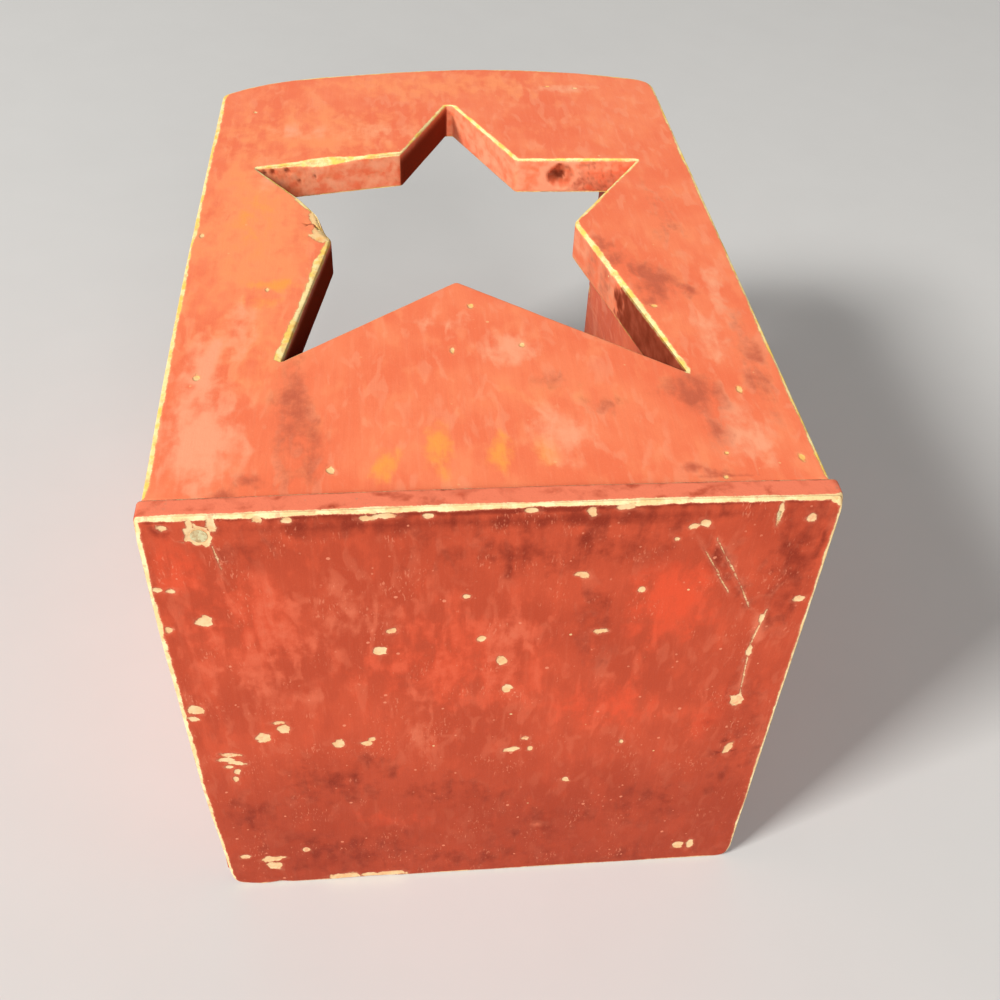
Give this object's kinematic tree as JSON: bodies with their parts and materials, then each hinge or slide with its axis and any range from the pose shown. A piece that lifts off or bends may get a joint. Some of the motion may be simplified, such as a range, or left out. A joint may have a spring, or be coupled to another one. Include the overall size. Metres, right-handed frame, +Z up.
{
  "type": "open-topped wooden candle box",
  "caption": "Open-topped box of nailed, painted boards with a large star cut through its arched front board, lying on its back.",
  "frame": {"origin": "under the middle of the whole box, on the surface it lies on", "axes": "+X to the right across the box, +Y from the bottom board to the open arched end, +Z up through the front board"},
  "size_m": [0.254, 0.3865, 0.2512],
  "materials": {
    "front_board_paint": "old orange-red paint over a cream undercoat, worn through along the edges",
    "bottom_board_paint": "old deep red paint, flaked off in spots to a cream undercoat",
    "back_board_paint": "old red paint, rubbed thin",
    "side_board_paint": "old red paint inside and out",
    "nail_iron": "dull, painted over"
  },
  "bodies": {
    "root": {"bottom_board": "bottom_board_paint", "front_board": "front_board_paint", "back_board": "back_board_paint", "left_side_board": "side_board_paint", "right_side_board": "side_board_paint", "bottom_nails_front": "nail_iron", "bottom_nails_back": "nail_iron", "bottom_nails_left": "nail_iron", "bottom_nails_right": "nail_iron", "front_nails_left": "nail_iron", "front_nails_right": "nail_iron", "back_nails_left": "nail_iron", "back_nails_right": "nail_iron"}
  },
  "joints": []
}
